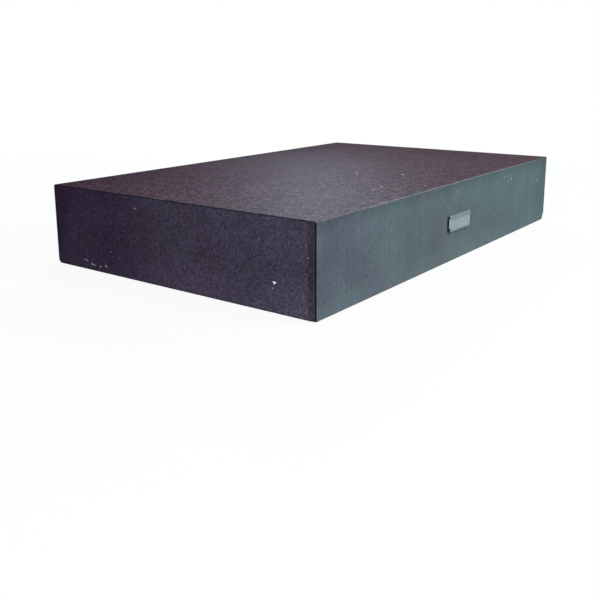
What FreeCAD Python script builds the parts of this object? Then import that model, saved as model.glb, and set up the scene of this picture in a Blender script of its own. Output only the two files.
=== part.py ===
import FreeCAD, Part
import math
import os

# Granite surface plate on three support pads, in millimetres.
# +X runs along the length, +Y across the width, away from the face that carries the name plate, and +Z
# is up. The origin is the centre of the base, on the plane that the support pads stand on.

# Granite slab: one block, lapped on top, ground on its four sides and sawn underneath
slab_length = 630.0
slab_width = 400.0
slab_thickness = 100.0
edge_chamfer = 1.2

# Support pads: three bonded rubber discs, each in a shallow seat ground into the underside
pad_diameter = 40.0
pad_thickness = 4.0
pad_rim_chamfer = 0.6
seat_depth = 2.0
seat_clearance = 0.5
pad_end_inset = 133.0
pad_side_inset = 85.0

# Name plate: a thick bevelled metal plate, bonded to the front face a little to the left of its middle,
# as the photo shows it, and left blank
plate_length = 57.0
plate_height = 20.5
plate_thickness = 4.5
plate_side_shift = -5.5
plate_corner_radius = 1.2
plate_bevel = 0.5

# Raised panel on the name plate, where the lettering would be: a plain band is left above it
panel_side_margin = 2.6
panel_bottom_margin = 2.6
panel_top_margin = 5.8
panel_rise = 0.5
panel_corner_radius = 0.8
panel_bevel = 0.3

# Flakes that have broken off three of the lower corners. Each is given by its corner, as signs along X, Y
# and Z, and by how far the break reaches from that corner along X, Y and Z. The surface of a break is
# hollow, like a shallow dish, and flatter where flake_flatness is larger; 1.0 is the deepest dish.
near_corner = (-1, -1, -1)
near_flake_reach = (2.6, 12.0, 2.8)
left_corner = (-1, 1, -1)
left_flake_reach = (3.0, 4.2, 4.5)
right_corner = (1, -1, -1)
right_flake_reach = (7.0, 6.0, 11.0)
flake_flatness = 2.0

# Places that follow from the sizes
underside = pad_thickness - seat_depth
working_face = underside + slab_thickness
front_face = -slab_width / 2
plate_middle = underside + slab_thickness / 2
pad_row = slab_length / 2 - pad_end_inset
pad_column = slab_width / 2 - pad_side_inset
pad_places = {
    "support_pad_left_front": (-pad_row, -pad_column),
    "support_pad_left_rear": (-pad_row, pad_column),
    "support_pad_right": (pad_row, 0.0),
}


def rounded_plate(length, height, thickness, radius, back, middle, bevel):
    """A rounded rectangle facing -Y, centred on a middle given as X and Z, with its front edge bevelled."""
    x = length / 2
    z = height / 2
    inset = radius * (1 - math.sqrt(0.5))

    def at(px, pz):
        return FreeCAD.Vector(middle[0] + px, back, middle[1] + pz)

    def side(start, end):
        return Part.LineSegment(at(*start), at(*end)).toShape()

    def corner(start, through, end):
        return Part.Arc(at(*start), at(*through), at(*end)).toShape()

    outline = Part.Wire([
        side((-x + radius, -z), (x - radius, -z)),
        corner((x - radius, -z), (x - inset, -z + inset), (x, -z + radius)),
        side((x, -z + radius), (x, z - radius)),
        corner((x, z - radius), (x - inset, z - inset), (x - radius, z)),
        side((x - radius, z), (-x + radius, z)),
        corner((-x + radius, z), (-x + inset, z - inset), (-x, z - radius)),
        side((-x, z - radius), (-x, -z + radius)),
        corner((-x, -z + radius), (-x + inset, -z + inset), (-x + radius, -z)),
    ])
    solid = Part.Face(outline).extrude(FreeCAD.Vector(0, -thickness, 0))
    front = back - thickness
    front_edges = [
        edge for edge in solid.Edges
        if abs(edge.BoundBox.YMin - front) < 1e-6 and abs(edge.BoundBox.YMax - front) < 1e-6
    ]
    return solid.makeChamfer(bevel, front_edges)


def flake(signs, reach):
    """A ball whose surface passes through the three points where a break crosses the edges of a corner."""
    corner = (
        signs[0] * slab_length / 2,
        signs[1] * slab_width / 2,
        underside if signs[2] < 0 else working_face,
    )
    power = flake_flatness * max(reach) ** 2
    outward = [(power - r * r) / (2 * r) for r in reach]
    radius = math.sqrt(power + sum(o * o for o in outward))
    centre = [c + s * o for c, s, o in zip(corner, signs, outward)]
    return Part.makeSphere(radius, FreeCAD.Vector(*centre))


def make_slab():
    """The granite block with every edge eased, the pads' seats in its underside and its broken corners."""
    block = Part.makeBox(
        slab_length, slab_width, slab_thickness,
        FreeCAD.Vector(-slab_length / 2, front_face, underside),
    )
    slab = block.makeChamfer(edge_chamfer, block.Edges)
    seat_radius = pad_diameter / 2 + seat_clearance
    for x, y in pad_places.values():
        slab = slab.cut(Part.makeCylinder(seat_radius, seat_depth, FreeCAD.Vector(x, y, underside)))
    slab = slab.cut(flake(near_corner, near_flake_reach))
    slab = slab.cut(flake(left_corner, left_flake_reach))
    slab = slab.cut(flake(right_corner, right_flake_reach))
    return slab


def make_support_pad(x, y):
    """A rubber disc standing on the base plane, with a chamfer round its foot and round its top."""
    radius = pad_diameter / 2
    profile = [
        (0.0, 0.0),
        (radius - pad_rim_chamfer, 0.0),
        (radius, pad_rim_chamfer),
        (radius, pad_thickness - pad_rim_chamfer),
        (radius - pad_rim_chamfer, pad_thickness),
        (0.0, pad_thickness),
    ]
    points = [FreeCAD.Vector(x + r, y, z) for r, z in profile]
    section = Part.Face(Part.makePolygon(points + points[:1]))
    return section.revolve(FreeCAD.Vector(x, y, 0), FreeCAD.Vector(0, 0, 1), 360)


def make_name_plate():
    """The name plate: a bevelled plate with a blank raised panel in the lower part of its face."""
    plate = rounded_plate(
        plate_length, plate_height, plate_thickness, plate_corner_radius,
        front_face, (plate_side_shift, plate_middle), plate_bevel,
    )
    panel_length = plate_length - 2 * panel_side_margin
    panel_height = plate_height - panel_bottom_margin - panel_top_margin
    panel_middle = plate_middle + (panel_bottom_margin - panel_top_margin) / 2
    panel = rounded_plate(
        panel_length, panel_height, panel_rise, panel_corner_radius,
        front_face - plate_thickness, (plate_side_shift, panel_middle), panel_bevel,
    )
    return plate.fuse(panel).removeSplitter()


parts = {"granite_slab": make_slab(), "name_plate": make_name_plate()}
for name, place in pad_places.items():
    parts[name] = make_support_pad(*place)

os.makedirs("parts", exist_ok=True)
for name, shape in parts.items():
    shape.exportStep("parts/" + name + ".step")
    print(name, shape.ShapeType, shape.isValid(), len(shape.Solids), round(shape.Volume / 1000, 2), "cm3")
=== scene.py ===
import math

import bmesh
import bpy
from mathutils import Matrix, Vector, noise


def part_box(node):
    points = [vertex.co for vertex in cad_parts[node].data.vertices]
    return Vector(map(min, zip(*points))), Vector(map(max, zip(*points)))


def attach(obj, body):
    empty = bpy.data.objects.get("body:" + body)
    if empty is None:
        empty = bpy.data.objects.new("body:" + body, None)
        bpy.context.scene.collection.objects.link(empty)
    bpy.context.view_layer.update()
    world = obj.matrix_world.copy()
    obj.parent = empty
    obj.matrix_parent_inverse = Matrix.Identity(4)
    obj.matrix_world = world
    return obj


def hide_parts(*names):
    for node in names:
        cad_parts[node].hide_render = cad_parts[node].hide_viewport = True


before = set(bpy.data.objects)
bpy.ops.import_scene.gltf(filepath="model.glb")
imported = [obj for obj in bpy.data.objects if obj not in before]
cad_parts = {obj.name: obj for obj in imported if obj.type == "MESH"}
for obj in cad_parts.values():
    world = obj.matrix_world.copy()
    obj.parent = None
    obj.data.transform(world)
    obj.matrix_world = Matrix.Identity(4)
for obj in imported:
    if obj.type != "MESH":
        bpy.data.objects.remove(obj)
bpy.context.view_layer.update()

# Everything is in metres, in the frame of the solids: +X along the length, +Y across the width away from
# the name plate, +Z up, and the origin at the centre of the base.
MM = 0.001
LENGTHWISE = Vector((1.0, 0.0, 0.0))
CROSSWISE = Vector((0.0, 1.0, 0.0))
UPWARD = Vector((0.0, 0.0, 1.0))
slab_low, slab_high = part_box("granite_slab")
plate_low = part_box("name_plate")[0]
pads = [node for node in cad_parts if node.startswith("support_pad")]

# Eased edges of the slab: their width, the step of their mesh, their fine ripple, and the nicks, which are
# the parts of a coarser noise above a level
EDGE_EASE = 1.2 * MM
EDGE_STEP = 1.6 * MM
EDGE_RIPPLE = 0.12 * MM
RIPPLE_FREQUENCY = 2.0 / (3 * MM)
NICK_DEPTH = 2.6 * MM
NICK_SPACING = 11 * MM
NICK_LEVEL = 0.52
NARROWEST = -0.3 * EDGE_EASE
BROAD_FACE_AREA = (100 * MM) ** 2
SHORTEST_STRIP = 20 * MM

# Seats of the pads in the underside
SEAT_CLEARANCE = 0.5 * MM
SEAT_SIDES = 96

# Flakes broken off three of the lower corners, the near one, the left one and the right one: the corner's
# signs, and the reach along X, Y and Z. A break is the flatter the larger the flatness is.
FLAKES = [
    ((-1, -1, -1), (2.6 * MM, 12.0 * MM, 2.8 * MM)),
    ((-1, 1, -1), (3.0 * MM, 4.2 * MM, 4.5 * MM)),
    ((1, -1, -1), (7.0 * MM, 6.0 * MM, 11.0 * MM)),
]
FLAKE_FLATNESS = 2.0
FLAKE_ROUGHNESS = 0.25 * MM
FLAKE_ROUGH_SPACING = 4 * MM

# Small chips out of the faces, given by the distance from the near corner, the depth below the top, the
# length, the height and the tilt in degrees. The fresh one is in the end face. The dull ones are in the end
# face and in the long face with the plate.
FRESH_CHIPS = [(50.6 * MM, 68.1 * MM, 5.6 * MM, 4.4 * MM, 184)]
END_CHIPS = [
    (52.6 * MM, 73.7 * MM, 2.0 * MM, 1.8 * MM, 0),
    (333.6 * MM, 91.9 * MM, 4.2 * MM, 2.8 * MM, 20),
    (329.3 * MM, 92.5 * MM, 3.4 * MM, 2.2 * MM, 15),
    (318.3 * MM, 92.5 * MM, 3.6 * MM, 2.6 * MM, 30),
    (307.6 * MM, 90.7 * MM, 6.0 * MM, 2.0 * MM, 32),
    (344.5 * MM, 88.3 * MM, 8.4 * MM, 1.5 * MM, 14),
    (297.4 * MM, 71.9 * MM, 2.4 * MM, 1.2 * MM, 10),
    (9.4 * MM, 36.0 * MM, 1.8 * MM, 1.6 * MM, 0),
    (252.3 * MM, 14.5 * MM, 2.6 * MM, 2.0 * MM, 0),
]
SIDE_CHIPS = [
    (307.0 * MM, 11.4 * MM, 3.0 * MM, 2.2 * MM, 0),
    (458.9 * MM, 12.2 * MM, 3.0 * MM, 2.6 * MM, -20),
    (473.7 * MM, 13.3 * MM, 2.4 * MM, 1.8 * MM, 0),
    (484.0 * MM, 17.2 * MM, 3.6 * MM, 2.0 * MM, -20),
    (589.9 * MM, 32.7 * MM, 4.2 * MM, 3.6 * MM, 0),
    (425.9 * MM, 59.8 * MM, 3.0 * MM, 2.2 * MM, 0),
]
FRESH_CHIP_SIDES = 3
DULL_CHIP_SIDES = 5
CHIP_DEPTH_SHARE = 0.3
CHIP_TIP = 0.05
CHIP_UNEVENNESS = 0.4
CHIP_UNEVEN_FREQUENCY = 700

# Large pale crystals in the top, partly real crystals and partly painted glints, given by the distance from
# the near corner along the long side and along the end, and the width
TOP_CRYSTALS_AND_GLINTS = [
    (304.2 * MM, 148.7 * MM, 3.2 * MM),
    (289.6 * MM, 137.7 * MM, 3.6 * MM),
    (324.4 * MM, 87.8 * MM, 4.4 * MM),
    (218.1 * MM, 58.0 * MM, 3.2 * MM),
    (193.4 * MM, 55.5 * MM, 2.4 * MM),
    (125.6 * MM, 15.1 * MM, 2.4 * MM),
    (255.7 * MM, 19.5 * MM, 2.6 * MM),
    (251.4 * MM, 84.8 * MM, 1.6 * MM),
    (270.1 * MM, 86.6 * MM, 1.6 * MM),
    (443.2 * MM, 137.9 * MM, 2.0 * MM),
    (451.0 * MM, 126.6 * MM, 2.0 * MM),
    (277.6 * MM, 154.7 * MM, 1.5 * MM),
    (256.8 * MM, 153.6 * MM, 1.5 * MM),
    (188.0 * MM, 63.0 * MM, 1.6 * MM),
    (333.8 * MM, 143.0 * MM, 1.5 * MM),
]


def srgb(red, green, blue):
    """A colour given as a picture's 0 to 255 values, as the linear colour that a shader takes."""
    def linear(value):
        share = value / 255
        return share / 12.92 if share <= 0.04045 else ((share + 0.055) / 1.055) ** 2.4

    return (linear(red), linear(green), linear(blue), 1.0)


# Colours of the stone by the finish of the face: plain, and where it is darkest, at the left rear corner,
# which is painted shade. The reaches are the distances from that corner over which the painted shade goes
# over into the plain colour.
LAPPED_TOP = (srgb(78, 60, 67), srgb(57, 31, 48))
GROUND_SIDE = (srgb(83, 98, 101), srgb(70, 57, 86))
REAR_SIDE = (srgb(90, 92, 94), srgb(64, 60, 68))
# The end is painted darker than the long face, as painted shade: both are ground alike.
SHADED_GROUND_END = (srgb(77, 75, 89), srgb(50, 38, 59))
FAR_END = (srgb(84, 74, 80), srgb(56, 44, 56))
# The eased edges are lit and shaded copies of one finish: the long edges are paler, partly a paler ground
# edge and partly a painted highlight, and the end edges and the upright edges are dark, as painted shade.
LONG_EDGE = (srgb(106, 109, 118), srgb(78, 72, 86))
END_EDGE = (srgb(56, 51, 66), srgb(32, 26, 40))
UPRIGHT_EDGE = srgb(24, 19, 31)
SAWN_BASE = (srgb(92, 92, 98), srgb(80, 76, 86))
PAINTED_SHADE_REACH = (0.05, 0.51)
TOP_PAINTED_SHADE_REACH = (0.05, 0.76)
DRIFT_SCALE = 9.0
DRIFT_WIDTH = 0.35
PALE_BREAK = srgb(232, 232, 236)
DULL_BREAK = srgb(150, 152, 162)
FLECK = srgb(158, 158, 168)
PALE_CRYSTAL_AND_GLINT = srgb(214, 212, 218)

# How much of a normal has to lie along an axis: for a face, from where its finish begins to where it is
# full; for the eased edges of the ends, along X; and for the upright edges, along Z
FACING = (0.75, 0.95)
END_EDGE_FACING = (0.5, 0.65)
UPRIGHT_EDGE_FACING = (0.15, 0.05)

# Broad plain tones along the rims of the faces: each makes the stone darker or lighter. A margin is
# given by the axis it lies along (0 for X), where it begins, where it is full, and its tone.
SIDE_MARGINS = [
    (2, 0.0860, 0.0985, 0.8),
    # Painted light: the bottom of the long face is lighter, as if lit from the floor.
    (2, 0.0320, 0.0060, 1.2),
    (0, 0.2550, 0.3050, 0.9),
    # Painted highlight: a lighter line along the near upright edge.
    (0, -0.3095, -0.3125, 1.1),
]
END_MARGINS = [
    # Painted light: the bottom of the end is lighter, as if lit from the floor.
    (2, 0.0450, 0.0120, 1.4),
    (1, 0.1720, 0.1970, 0.75),
    # Painted shade: a darker strip along the near upright edge.
    (1, -0.1895, -0.1915, 0.65),
]
# Painted highlight of the long edges, weaker towards the far end
EDGE_MARGINS = [
    (0, -0.0500, 0.2000, 0.8),
    (0, 0.2750, 0.3100, 0.6),
]
TOP_MARGINS = [(1, 0.1500, 0.1800, 0.85)]

# Grain of the stone: cells per metre, the tones of the darkest and the lightest cell, and the share of the
# cells that stay at the darkest
COARSE_GRAIN = (380.0, 0.92, 1.08, 0.0)
FINE_GRAIN = (950.0, 0.92, 1.15, 0.3)
BLOTCHES = (170.0, 0.74, 1.26, 0.0)

# Small pale crystals: cells per metre, the share of the cells that hold one, its width and its strength.
# Those of the top are partly painted glints.
TOP_FLECKS_AND_GLINTS = [(200.0, 0.75, 3.0 * MM, 0.3), (70.0, 0.3, 3.4 * MM, 0.4)]
SIDE_FLECKS = [(130.0, 0.22, 1.2 * MM, 0.6), (60.0, 0.12, 2.0 * MM, 0.75)]

# The part of a noise's range that its darkest and lightest tones are spread over, if nothing else is said
NOISE_SPAN = (0.3, 0.7)

# Clouds through the block, first of hue and then of light
HUE_CLOUD_SCALE = 5.5
WARM_TINT = (1.03, 0.965, 1.01, 1.0)
COOL_TINT = (0.97, 1.035, 1.0, 1.0)
LIGHT_CLOUD_SCALE = 22.0
LIGHT_CLOUD_SPAN = (0.25, 0.75)
LIGHT_CLOUD_TONES = (0.88, 1.12)

# How the finish changes across the top: the distances from the near corner over which the gloss and the
# grain change, and the strengths at both ends of them
GLOSS_REACH = (0.05, 0.65)
GRAIN_REACH = (0.20, 0.60)
LAPPED_GLOSS = (0.0085, 0.0009)
LAPPED_GRAIN = (6.0, 1.2)
LAPPED_BLOTCHES = (2.1, 0.4)
LAPPED_STIPPLE = (1.1, 0.6)
LAPPED_ROUGHNESS = 0.57

# The finish of the other faces. The grain of the long sides changes along X, and so do their grinding
# streaks, which are strong towards the near corner and weak towards the far end.
GROUND_ROUGHNESS = 0.8
GROUND_GLOSS = 0.01
END_GRAIN = 2.9
SIDE_GRAIN_REACH = (-0.10, 0.25)
SIDE_GRAIN = (1.0, 0.35)
STREAK_REACH = (-0.25, 0.15)
STREAK_STRENGTH = (1.0, 0.45)
STREAK_SCALE = (520.0, 520.0, 7.0)
STREAK_TONES = (0.88, 1.12)
STREAK_PATCH_SCALE = (7.0, 7.0, 2.0)
STREAK_PATCH_SPAN = (0.35, 0.6)
STREAK_PATCH_STRENGTH = (0.25, 1.0)

# Name plate: its colours, which parts of it face forward and upward, how far behind the panel's face the
# panel's colour begins and is full, and the brushing and the tarnish. Its flanks are painted dark as
# painted shade, its upper flank is painted light, and a pale spot of its left flank is a painted highlight.
# That spot is given by axes, and by where it begins and is full along them from the plate's low corner.
PLATE_FIELD = srgb(126, 144, 152)
PLATE_PANEL = srgb(148, 163, 169)
PLATE_SHADED_FLANK = srgb(68, 88, 100)
PLATE_LIT_UPPER_FLANK = srgb(168, 184, 194)
PLATE_HIGHLIGHT_SPOT = srgb(178, 190, 198)
PLATE_ROUGHNESS = 0.42
FRONTAL_FACING = (-0.2, -0.5)
UPPER_FACING = (0.3, 0.6)
PANEL_DEPTHS = (0.4 * MM, 0.1 * MM)
BRUSH_SCALE = (60.0, 2500.0, 2500.0)
BRUSH_TONES = (0.88, 1.1)
TARNISH_SCALE = 260.0
TARNISH_SPAN = (0.4, 0.7)
TARNISH_TONES = (1.0, 0.78)
HIGHLIGHT_SPOT_FACING = (-0.5, -0.9)
HIGHLIGHT_SPOT_LIMITS = [
    (1, 2.7 * MM, 2.2 * MM),
    (2, 4.5 * MM, 5.5 * MM),
    (2, 17.5 * MM, 16.5 * MM),
]

# Rubber of the support pads
RUBBER = srgb(38, 38, 40)
RUBBER_ROUGHNESS = 0.85
MOTTLE_SCALE = 420.0
MOTTLE_TONES = (0.75, 1.3)

# Relief of the surfaces: the strength and the height of the bumps
STONE_BUMP = (0.3, 0.05 * MM)
METAL_BUMP = (0.2, 0.03 * MM)
RUBBER_BUMP = (0.3, 0.1 * MM)

# Floor and world: the camera sees both at white, and the world lights the object more softly
FLOOR_SIZE = 40.0
FLOOR_DROP = 0.1 * MM
FLOOR_GREY = 0.85
FLOOR_GLOW = 0.93
FLOOR_FADE = (0.55, 1.5)
WORLD_LIGHT = 0.2
WHITE = (1.0, 1.0, 1.0)

# Lamps: the name, the place, the point it is turned to, the width, the height, the power and the colour
LAMPS = [
    ("key_lamp", (0.25, -1.25, 1.0), (0.1, 0.0, 0.05), 0.7, 0.7, 18.0, WHITE),
    ("fill_lamp", (-1.3, -0.9, 0.55), (-0.2, -0.1, 0.05), 0.5, 0.5, 10.5, WHITE),
    ("back_lamp", (1.9, 1.36, 1.24), (0.0, 0.0, 0.1), 0.25, 0.45, 51.0, (0.66, 0.87, 1.0)),
]

# Camera, at the photograph's place and angle: the angles are in degrees, the lens in millimetres, and the
# shift a share of the picture's 600 pixels
CAMERA_PLACE = Vector((-0.89401, -0.61138, 0.24790))
CAMERA_HEADING = 53.395
CAMERA_PITCH = -12.200
CAMERA_ROLL = -0.235
CAMERA_SENSOR = 36.0
CAMERA_LENS = 46.300
CAMERA_SHIFT = -70 / 600


def new_material(name):
    """A material with an empty node tree, and that tree."""
    material = bpy.data.materials.new(name)
    material.use_nodes = True
    tree = material.node_tree
    tree.nodes.clear()
    return material, tree


def add(tree, kind, inputs=None, **settings):
    """A shader node. An input given as a socket is linked, and anything else is the socket's value."""
    node = tree.nodes.new("ShaderNode" + kind)
    for name, value in settings.items():
        setattr(node, name, value)
    for key, value in (inputs or {}).items():
        if isinstance(value, bpy.types.NodeSocket):
            tree.links.new(value, node.inputs[key])
        else:
            node.inputs[key].default_value = value
    return node


def math_of(tree, operation, first, second=0.0):
    """The result of a Math node."""
    return add(tree, "Math", {0: first, 1: second}, operation=operation).outputs[0]


def product(tree, first, second):
    """Two numbers multiplied."""
    return math_of(tree, "MULTIPLY", first, second)


def fade(tree, value, start, end, to_start=0.0, to_end=1.0):
    """A value carried from one range to another, held at the ends."""
    inputs = {"Value": value, "From Min": start, "From Max": end, "To Min": to_start, "To Max": to_end}
    return add(tree, "MapRange", inputs).outputs["Result"]


def facing(tree, value):
    """1 where a face points along an axis, from how much of its normal lies along it."""
    return fade(tree, value, *FACING)


def blend_colours(tree, share, first, second, blend_type="MIX"):
    """Two colours mixed by a share."""
    node = add(tree, "Mix", {0: share, 6: first, 7: second}, data_type="RGBA", blend_type=blend_type)
    return node.outputs[2]


def tinted(tree, colour, tone, share=1.0):
    """A colour multiplied by a tone, or by a share of it."""
    return blend_colours(tree, share, colour, tone, "MULTIPLY")


def blend_values(tree, share, first, second):
    """Two numbers mixed by a share, which may be above 1."""
    inputs = {0: share, 2: first, 3: second}
    return add(tree, "Mix", inputs, data_type="FLOAT", clamp_factor=False).outputs[0]


def parts_of(tree, vector):
    """The three numbers of a vector or of a colour."""
    return add(tree, "SeparateXYZ", {0: vector}).outputs


def stretched(tree, place, scale):
    """Coordinates scaled along X, Y and Z, for a pattern that is drawn out one way."""
    return add(tree, "Mapping", {"Vector": place, "Scale": scale}, vector_type="POINT").outputs["Vector"]


def distance_from(tree, place, point):
    """How far the surface is from a point."""
    offset = add(tree, "VectorMath", {0: place, 1: point}, operation="SUBTRACT").outputs["Vector"]
    return add(tree, "VectorMath", {0: offset}, operation="LENGTH").outputs["Value"]


def clouds(tree, place, scale, detail):
    """A cloudy noise about 0.5."""
    return add(tree, "TexNoise", {"Vector": place, "Scale": scale, "Detail": detail}).outputs["Fac"]


def shade(tree, colour, height, bump, inputs):
    """Ends a material: its colour, the relief of its surface and what else the shader takes."""
    strength, depth = bump
    relief = add(tree, "Bump", {"Height": height, "Strength": strength, "Distance": depth}).outputs[0]
    shader = add(tree, "BsdfPrincipled", {"Base Color": colour, "Normal": relief, **inputs})
    add(tree, "OutputMaterial", {"Surface": shader.outputs[0]})


def crystal_tones(tree, place, grain, channel):
    """Crystals with a random brightness each, taken from one channel of their cells' random colours."""
    scale, darkest, lightest, dark_share = grain
    cells = add(tree, "TexVoronoi", {"Vector": place, "Scale": scale})
    chance = parts_of(tree, cells.outputs["Color"])[channel]
    return fade(tree, chance, dark_share, 1.0, darkest, lightest)


def flecks(tree, place, kinds):
    """How strongly small pale crystals of several kinds show, where the strongest kind counts."""
    strongest = 0.0
    for scale, share, size, strength in kinds:
        cells = add(tree, "TexVoronoi", {"Vector": place, "Scale": scale})
        chance = parts_of(tree, cells.outputs["Color"])[2]
        chosen = math_of(tree, "GREATER_THAN", chance, 1.0 - share)
        near = fade(tree, cells.outputs["Distance"], 0.5 * size * scale, 0.25 * size * scale)
        shown = product(tree, product(tree, chosen, near), strength)
        strongest = math_of(tree, "MAXIMUM", shown, strongest)
    return strongest


def pale_crystals_and_glints(tree, place):
    """1 in the few large pale crystals of the top, partly real crystals and partly painted glints."""
    share = 0.0
    for along, across, width in TOP_CRYSTALS_AND_GLINTS:
        middle = (slab_low.x + along, slab_low.y + across, slab_high.z)
        near = fade(tree, distance_from(tree, place, middle), 0.5 * width, 0.3 * width)
        share = math_of(tree, "MAXIMUM", near, share)
    return share


def toned(tree, place, colour, margins):
    """A colour with the broad tones of its face's margins."""
    axes = parts_of(tree, place)
    for axis, begin, full, tone in margins:
        colour = tinted(tree, colour, (tone, tone, tone, 1.0), fade(tree, axes[axis], begin, full))
    return colour


def stone_colour(tree, place, normal):
    """The colour of the stone before its grain, by the finish of the face and by where it is, with painted
    shade towards the left rear corner.
    """
    away = distance_from(tree, place, (slab_low.x, slab_high.y, slab_high.z))
    drift = math_of(tree, "SUBTRACT", clouds(tree, place, DRIFT_SCALE, 3.0), 0.5)
    away = math_of(tree, "ADD", away, product(tree, drift, DRIFT_WIDTH))
    # Painted shade: every face darkens towards the left rear corner.
    painted_shade = fade(tree, away, PAINTED_SHADE_REACH[1], PAINTED_SHADE_REACH[0])
    top_painted_shade = fade(tree, away, TOP_PAINTED_SHADE_REACH[1], TOP_PAINTED_SHADE_REACH[0])
    end = toned(tree, place, blend_colours(tree, painted_shade, *SHADED_GROUND_END), END_MARGINS)
    side = toned(tree, place, blend_colours(tree, painted_shade, *GROUND_SIDE), SIDE_MARGINS)
    top = toned(tree, place, blend_colours(tree, top_painted_shade, *LAPPED_TOP), TOP_MARGINS)

    faces = [
        (0, -1.0, end),
        (0, 1.0, blend_colours(tree, painted_shade, *FAR_END)),
        (1, -1.0, side),
        (1, 1.0, blend_colours(tree, painted_shade, *REAR_SIDE)),
        (2, 1.0, top),
        (2, -1.0, blend_colours(tree, painted_shade, *SAWN_BASE)),
    ]
    lengthwise = fade(tree, math_of(tree, "ABSOLUTE", normal[0]), *END_EDGE_FACING)
    upright = fade(tree, math_of(tree, "ABSOLUTE", normal[2]), *UPRIGHT_EDGE_FACING)
    # Painted highlight on the long edges, painted shade on the end edges and the upright edges
    long_edge = toned(tree, place, blend_colours(tree, painted_shade, *LONG_EDGE), EDGE_MARGINS)
    end_edge = blend_colours(tree, painted_shade, *END_EDGE)
    colour = blend_colours(tree, lengthwise, long_edge, end_edge)
    colour = blend_colours(tree, upright, colour, UPRIGHT_EDGE)
    for axis, sign, face_colour in faces:
        share = facing(tree, product(tree, normal[axis], sign))
        colour = blend_colours(tree, share, colour, face_colour)
    return colour


def clouded(tree, place, colour):
    """A stone colour with faint warm and cool clouds through the block."""
    warm_or_cool = fade(tree, clouds(tree, place, HUE_CLOUD_SCALE, 3.0), *NOISE_SPAN)
    colour = tinted(tree, colour, blend_colours(tree, warm_or_cool, WARM_TINT, COOL_TINT))
    light_noise = clouds(tree, place, LIGHT_CLOUD_SCALE, 4.0)
    light = fade(tree, light_noise, *LIGHT_CLOUD_SPAN, *LIGHT_CLOUD_TONES)
    return tinted(tree, colour, light)


def ground_streaks(tree, place, along, colour):
    """A stone colour with the fine upright streaks that grinding leaves, stronger in some parts."""
    streak_noise = clouds(tree, stretched(tree, place, STREAK_SCALE), 1.0, 2.0)
    streak = fade(tree, streak_noise, *NOISE_SPAN, *STREAK_TONES)
    patch_noise = clouds(tree, stretched(tree, place, STREAK_PATCH_SCALE), 1.0, 1.0)
    patch = fade(tree, patch_noise, *STREAK_PATCH_SPAN, *STREAK_PATCH_STRENGTH)
    strength = fade(tree, along, *STREAK_REACH, *STREAK_STRENGTH)
    return tinted(tree, colour, streak, product(tree, strength, patch))


def stippled(tree, place, colour, upward, strength):
    """A stone colour with its small pale crystals: those on top are dense, have a given strength and are
    partly painted glints.
    """
    on_top = product(tree, flecks(tree, place, TOP_FLECKS_AND_GLINTS), strength)
    on_sides = flecks(tree, place, SIDE_FLECKS)
    return blend_colours(tree, blend_values(tree, upward, on_sides, on_top), colour, FLECK)


def stone_material(name, break_colour=None):
    """Black granite. Its finish goes by the way a face points; a break has one paler colour all over."""
    material, tree = new_material(name)
    coordinates = add(tree, "TexCoord").outputs
    place = coordinates["Object"]
    along = parts_of(tree, place)[0]
    normal = parts_of(tree, coordinates["Normal"])
    upward = facing(tree, normal[2])
    sideways = facing(tree, math_of(tree, "ABSOLUTE", normal[1]))
    from_near_corner = distance_from(tree, place, (slab_low.x, slab_low.y, slab_high.z))
    duller = fade(tree, from_near_corner, *GLOSS_REACH)
    finer = fade(tree, from_near_corner, *GRAIN_REACH)
    side_grain = fade(tree, along, *SIDE_GRAIN_REACH, *SIDE_GRAIN)
    strength = blend_values(tree, upward, END_GRAIN, blend_values(tree, finer, *LAPPED_GRAIN))
    strength = blend_values(tree, sideways, strength, side_grain)
    coarse = crystal_tones(tree, place, COARSE_GRAIN, 0)
    fine = crystal_tones(tree, place, FINE_GRAIN, 1)
    grain = blend_values(tree, strength, 1.0, product(tree, coarse, fine))

    if break_colour:
        colour = tinted(tree, break_colour, grain)
    else:
        colour = tinted(tree, stone_colour(tree, place, normal), grain)
        colour = clouded(tree, place, colour)
        blotch_share = product(tree, upward, blend_values(tree, finer, *LAPPED_BLOTCHES))
        blotches = crystal_tones(tree, place, BLOTCHES, 0)
        colour = tinted(tree, colour, blend_values(tree, blotch_share, 1.0, blotches))
        colour = blend_colours(tree, sideways, colour, ground_streaks(tree, place, along, colour))
        colour = stippled(tree, place, colour, upward, blend_values(tree, finer, *LAPPED_STIPPLE))
        colour = blend_colours(tree, pale_crystals_and_glints(tree, place), colour, PALE_CRYSTAL_AND_GLINT)

    gloss = blend_values(tree, upward, GROUND_GLOSS, blend_values(tree, duller, *LAPPED_GLOSS))
    roughness = blend_values(tree, upward, GROUND_ROUGHNESS, LAPPED_ROUGHNESS)
    shade(tree, colour, grain, STONE_BUMP, {"Roughness": roughness, "Specular IOR Level": gloss})
    return material


def flank_highlight_spot(tree, axes, normal):
    """1 in the pale spot of the name plate's left flank, a painted highlight where the flank's painted
    shade is left off.
    """
    highlight_spot = fade(tree, normal[0], *HIGHLIGHT_SPOT_FACING)
    for axis, begin, full in HIGHLIGHT_SPOT_LIMITS:
        near = fade(tree, axes[axis], plate_low[axis] + begin, plate_low[axis] + full)
        highlight_spot = product(tree, highlight_spot, near)
    return highlight_spot


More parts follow.
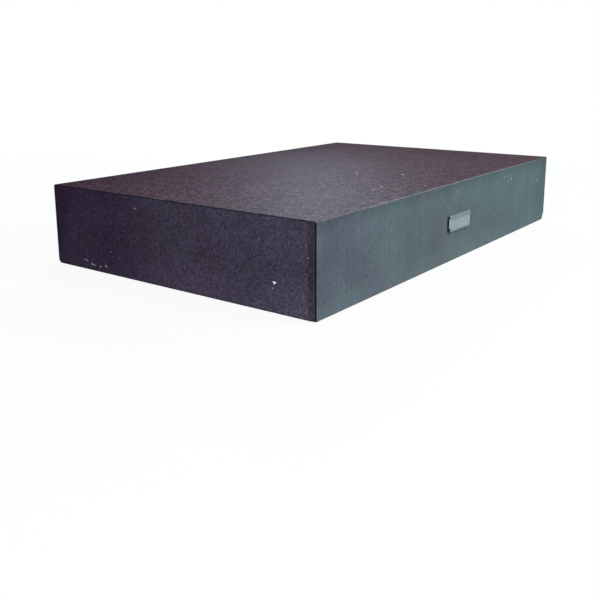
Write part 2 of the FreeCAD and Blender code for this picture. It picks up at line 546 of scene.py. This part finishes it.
def metal_material():
    """Satin metal of the name plate: flanks painted dark as painted shade, the upper flank painted light, a
    pale spot of the left flank as a painted highlight, the raised panel brighter.
    """
    material, tree = new_material("satin_name_plate")
    coordinates = add(tree, "TexCoord").outputs
    place = coordinates["Object"]
    axes = parts_of(tree, place)
    normal = parts_of(tree, coordinates["Normal"])
    frontal = fade(tree, normal[1], *FRONTAL_FACING)
    upper = fade(tree, normal[2], *UPPER_FACING)
    panel_begin, panel_full = PANEL_DEPTHS
    raised = fade(tree, axes[1], plate_low.y + panel_begin, plate_low.y + panel_full)
    brush = clouds(tree, stretched(tree, place, BRUSH_SCALE), 1.0, 3.0)
    tarnish = fade(tree, clouds(tree, place, TARNISH_SCALE, 4.0), *TARNISH_SPAN, *TARNISH_TONES)
    face = blend_colours(tree, raised, PLATE_FIELD, PLATE_PANEL)
    face = tinted(tree, face, fade(tree, brush, *NOISE_SPAN, *BRUSH_TONES))
    face = tinted(tree, face, tarnish)
    # Painted shade on the flanks, painted light on the upper flank
    flank = blend_colours(tree, upper, PLATE_SHADED_FLANK, PLATE_LIT_UPPER_FLANK)
    colour = blend_colours(tree, frontal, flank, face)
    highlight_spot = flank_highlight_spot(tree, axes, normal)
    colour = blend_colours(tree, highlight_spot, colour, PLATE_HIGHLIGHT_SPOT)
    metallic = math_of(tree, "SUBTRACT", 1.0, highlight_spot)
    shade(tree, colour, brush, METAL_BUMP, {"Metallic": metallic, "Roughness": PLATE_ROUGHNESS})
    return material


def rubber_material():
    """Black rubber of the support pads."""
    material, tree = new_material("pad_rubber")
    mottle = clouds(tree, add(tree, "TexCoord").outputs["Object"], MOTTLE_SCALE, 4.0)
    colour = tinted(tree, RUBBER, fade(tree, mottle, *NOISE_SPAN, *MOTTLE_TONES))
    shade(tree, colour, mottle, RUBBER_BUMP, {"Roughness": RUBBER_ROUGHNESS})
    return material


def edge_wear(point):
    """How much wider the eased edge is at a point: a fine ripple, and a nick where a coarse noise peaks."""
    ripple = EDGE_RIPPLE * noise.noise(point * RIPPLE_FREQUENCY)
    nick = NICK_DEPTH * max(0.0, noise.noise(point / NICK_SPACING) - NICK_LEVEL)
    return max(NARROWEST, ripple + nick)


def eased_block():
    """The slab as one block, with its edges eased to strips that are a little worn and nicked."""
    block = bmesh.new()
    size = slab_high - slab_low
    middle = (slab_high + slab_low) / 2
    placing = Matrix.Translation(middle) @ Matrix.Diagonal((*size, 1.0))
    bmesh.ops.create_cube(block, size=1.0, matrix=placing)
    bmesh.ops.bevel(
        block, geom=block.edges[:], offset=EDGE_EASE, offset_type="OFFSET",
        affect="EDGES", segments=1, profile=0.5, material=-1,
    )
    broad = [face for face in block.faces if face.calc_area() > BROAD_FACE_AREA]
    bmesh.ops.delete(block, geom=broad, context="FACES_ONLY")
    for axis in range(3):
        along = [
            edge for edge in block.edges
            if abs(edge.verts[0].co[axis] - edge.verts[1].co[axis]) > SHORTEST_STRIP
        ]
        cuts = round(size[axis] / EDGE_STEP)
        bmesh.ops.subdivide_edges(block, edges=along, cuts=cuts, use_grid_fill=False)
    for vertex in block.verts:
        wear = edge_wear(vertex.co)
        for axis in range(3):
            for limit, inward in ((slab_low[axis], 1), (slab_high[axis], -1)):
                if 0.5 * EDGE_EASE < abs(vertex.co[axis] - limit) < 1.5 * EDGE_EASE:
                    vertex.co[axis] += inward * wear
    bmesh.ops.holes_fill(block, edges=[edge for edge in block.edges if edge.is_boundary], sides=0)
    bmesh.ops.recalc_face_normals(block, faces=block.faces[:])
    return block


def add_flake(cutter, signs, reach):
    """Adds a ball whose surface passes through the three points where a break crosses a corner's edges."""
    power = FLAKE_FLATNESS * max(reach) ** 2
    outward = [(power - r * r) / (2 * r) for r in reach]
    radius = math.sqrt(power + sum(o * o for o in outward))
    corner = [slab_low[i] if signs[i] < 0 else slab_high[i] for i in range(3)]
    centre = Vector([c + s * o for c, s, o in zip(corner, signs, outward)])
    ball = bmesh.ops.create_icosphere(cutter, subdivisions=6, radius=radius)["verts"]
    for vertex in ball:
        rough = FLAKE_ROUGHNESS * noise.noise(vertex.co / FLAKE_ROUGH_SPACING)
        vertex.co += vertex.co.normalized() * rough + centre


def add_chip(cutter, middle, inward, across, chip, sides):
    """Adds a shallow blunt pyramid of uneven outline, half sunk in a face: the flat facets of a chip."""
    length, height, tilt = chip
    depth = CHIP_DEPTH_SHARE * min(length, height)
    basis = Matrix((across, UPWARD, inward)).transposed().to_4x4()
    turned = Matrix.Rotation(math.radians(tilt), 4, "Z")
    size = Matrix.Diagonal((2 * length, 2 * height, 2 * depth, 1.0))
    pyramid = bmesh.ops.create_cone(
        cutter, cap_ends=True, segments=sides, radius1=0.5, radius2=CHIP_TIP, depth=1.0,
        matrix=Matrix.Translation(middle) @ basis @ turned @ size,
    )["verts"]
    for vertex in pyramid:
        uneven = noise.noise(vertex.co * CHIP_UNEVEN_FREQUENCY)
        vertex.co = middle + (vertex.co - middle) * (1.0 + CHIP_UNEVENNESS * uneven)


def add_seat(cutter, pad):
    """Adds a cylinder that cuts the seat of a support pad into the underside."""
    low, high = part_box(pad)
    radius = (high.x - low.x) / 2 + SEAT_CLEARANCE
    depth = high.z - slab_low.z
    centre = Vector(((low.x + high.x) / 2, (low.y + high.y) / 2, slab_low.z))
    bmesh.ops.create_cone(
        cutter, cap_ends=True, segments=SEAT_SIDES, radius1=radius, radius2=radius, depth=2 * depth,
        matrix=Matrix.Translation(centre),
    )


def mesh_object(name, source, material):
    """A new object from a bmesh."""
    mesh = bpy.data.meshes.new(name)
    source.to_mesh(mesh)
    source.free()
    mesh.materials.append(material)
    piece = bpy.data.objects.new(name, mesh)
    bpy.context.scene.collection.objects.link(piece)
    return piece


def cut_away(piece, tool):
    """Takes a tool's shape out of a piece for good. The new faces keep the tool's own material."""
    cut = piece.modifiers.new("cut", "BOOLEAN")
    cut.operation = "DIFFERENCE"
    cut.object = tool
    cut.solver = "EXACT"
    cut.material_mode = "TRANSFER"
    cut_mesh = bpy.data.meshes.new_from_object(piece.evaluated_get(bpy.context.evaluated_depsgraph_get()))
    piece.modifiers.clear()
    piece.data = cut_mesh
    bpy.data.objects.remove(tool)


def cut_chips(piece, finish, end_chips, side_chips, sides):
    """Cuts small chips of one finish out of the end face and the long face with the name plate."""
    chips = bmesh.new()
    for away, below, *chip in end_chips:
        middle = Vector((slab_low.x, slab_low.y + away, slab_high.z - below))
        add_chip(chips, middle, LENGTHWISE, CROSSWISE, chip, sides)
    for away, below, *chip in side_chips:
        middle = Vector((slab_low.x + away, slab_low.y, slab_high.z - below))
        add_chip(chips, middle, CROSSWISE, -LENGTHWISE, chip, sides)
    bmesh.ops.recalc_face_normals(chips, faces=chips.faces[:])
    cut_away(piece, mesh_object("chips", chips, finish))


def make_slab():
    """The stone block with its eased edges, broken corners, chips and the three seats underneath."""
    stone = stone_material("black_granite")
    piece = mesh_object("granite_block", eased_block(), stone)
    breaks = bmesh.new()
    for signs, reach in FLAKES:
        add_flake(breaks, signs, reach)
    for pad in pads:
        add_seat(breaks, pad)
    cut_away(piece, mesh_object("breaks_and_seats", breaks, stone))
    cut_chips(piece, stone_material("fresh_break", PALE_BREAK), FRESH_CHIPS, [], FRESH_CHIP_SIDES)
    cut_chips(piece, stone_material("dull_break", DULL_BREAK), END_CHIPS, SIDE_CHIPS, DULL_CHIP_SIDES)
    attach(piece, "root")
    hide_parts("granite_slab")


def dress(node, material):
    """Gives a node of the solids its material. Its mesh stays as it is."""
    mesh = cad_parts[node].data
    mesh.materials.clear()
    mesh.materials.append(material)


def white_background_rays(tree):
    """1 for the rays that show the background itself: those of the camera, of gloss and of glass."""
    rays = add(tree, "LightPath").outputs
    seen = math_of(tree, "MAXIMUM", rays["Is Camera Ray"], rays["Is Glossy Ray"])
    return math_of(tree, "MAXIMUM", seen, rays["Is Transmission Ray"])


def make_floor():
    """A plain pale floor that keeps the object's shadow and fades to white away from it."""
    sheet = bmesh.new()
    level = Matrix.Translation((0.0, 0.0, -FLOOR_DROP))
    bmesh.ops.create_grid(sheet, x_segments=1, y_segments=1, size=FLOOR_SIZE / 2, matrix=level)
    material, tree = new_material("pale_floor")
    seen = white_background_rays(tree)
    place = add(tree, "TexCoord").outputs["Object"]
    far = fade(tree, distance_from(tree, place, (0.0, 0.0, 0.0)), *FLOOR_FADE)
    matt = add(tree, "BsdfDiffuse", {"Color": (FLOOR_GREY, FLOOR_GREY, FLOOR_GREY, 1.0)})
    glow = add(tree, "Emission", {"Color": (*WHITE, 1.0), "Strength": 1.0})
    share = product(tree, seen, blend_values(tree, far, FLOOR_GLOW, 1.0))
    surface = add(tree, "MixShader", {0: share, 1: matt.outputs[0], 2: glow.outputs[0]})
    add(tree, "OutputMaterial", {"Surface": surface.outputs[0]})
    floor = mesh_object("floor", sheet, material)


def make_world():
    """An even white world, which the camera sees at full white and which lights the object more softly."""
    world = bpy.data.worlds.new("studio")
    world.use_nodes = True
    tree = world.node_tree
    tree.nodes.clear()
    strength = blend_values(tree, white_background_rays(tree), WORLD_LIGHT, 1.0)
    background = add(tree, "Background", {"Color": (*WHITE, 1.0), "Strength": strength})
    add(tree, "OutputWorld", {"Surface": background.outputs[0]})
    bpy.context.scene.world = world


def make_lamp(name, place, target, width, height, power, colour):
    """A soft rectangular lamp at a place, turned to a target."""
    light = bpy.data.lights.new(name, "AREA")
    light.shape = "RECTANGLE"
    light.size = width
    light.size_y = height
    light.energy = power
    light.color = colour
    lamp = bpy.data.objects.new(name, light)
    lamp.location = place
    lamp.rotation_euler = (Vector(target) - Vector(place)).to_track_quat("-Z", "Y").to_euler()
    lamp.visible_camera = False
    bpy.context.scene.collection.objects.link(lamp)


def make_camera():
    """The camera, at the photograph's place and angle."""
    camera_data = bpy.data.cameras.new("camera")
    camera_data.sensor_width = CAMERA_SENSOR
    camera_data.lens = CAMERA_LENS
    camera_data.shift_y = CAMERA_SHIFT
    camera = bpy.data.objects.new("camera", camera_data)
    turn = Matrix.Rotation(math.radians(-CAMERA_HEADING), 3, "Z")
    tilt = Matrix.Rotation(math.radians(90 + CAMERA_PITCH), 3, "X")
    roll = Matrix.Rotation(math.radians(CAMERA_ROLL), 3, "Z")
    camera.matrix_world = Matrix.Translation(CAMERA_PLACE) @ (turn @ tilt @ roll).to_4x4()
    bpy.context.scene.collection.objects.link(camera)
    bpy.context.scene.camera = camera


make_slab()
dress("name_plate", metal_material())
rubber = rubber_material()
for pad in pads:
    dress(pad, rubber)
make_floor()
make_world()
for lamp in LAMPS:
    make_lamp(*lamp)
make_camera()
bpy.context.scene.view_settings.view_transform = "Standard"
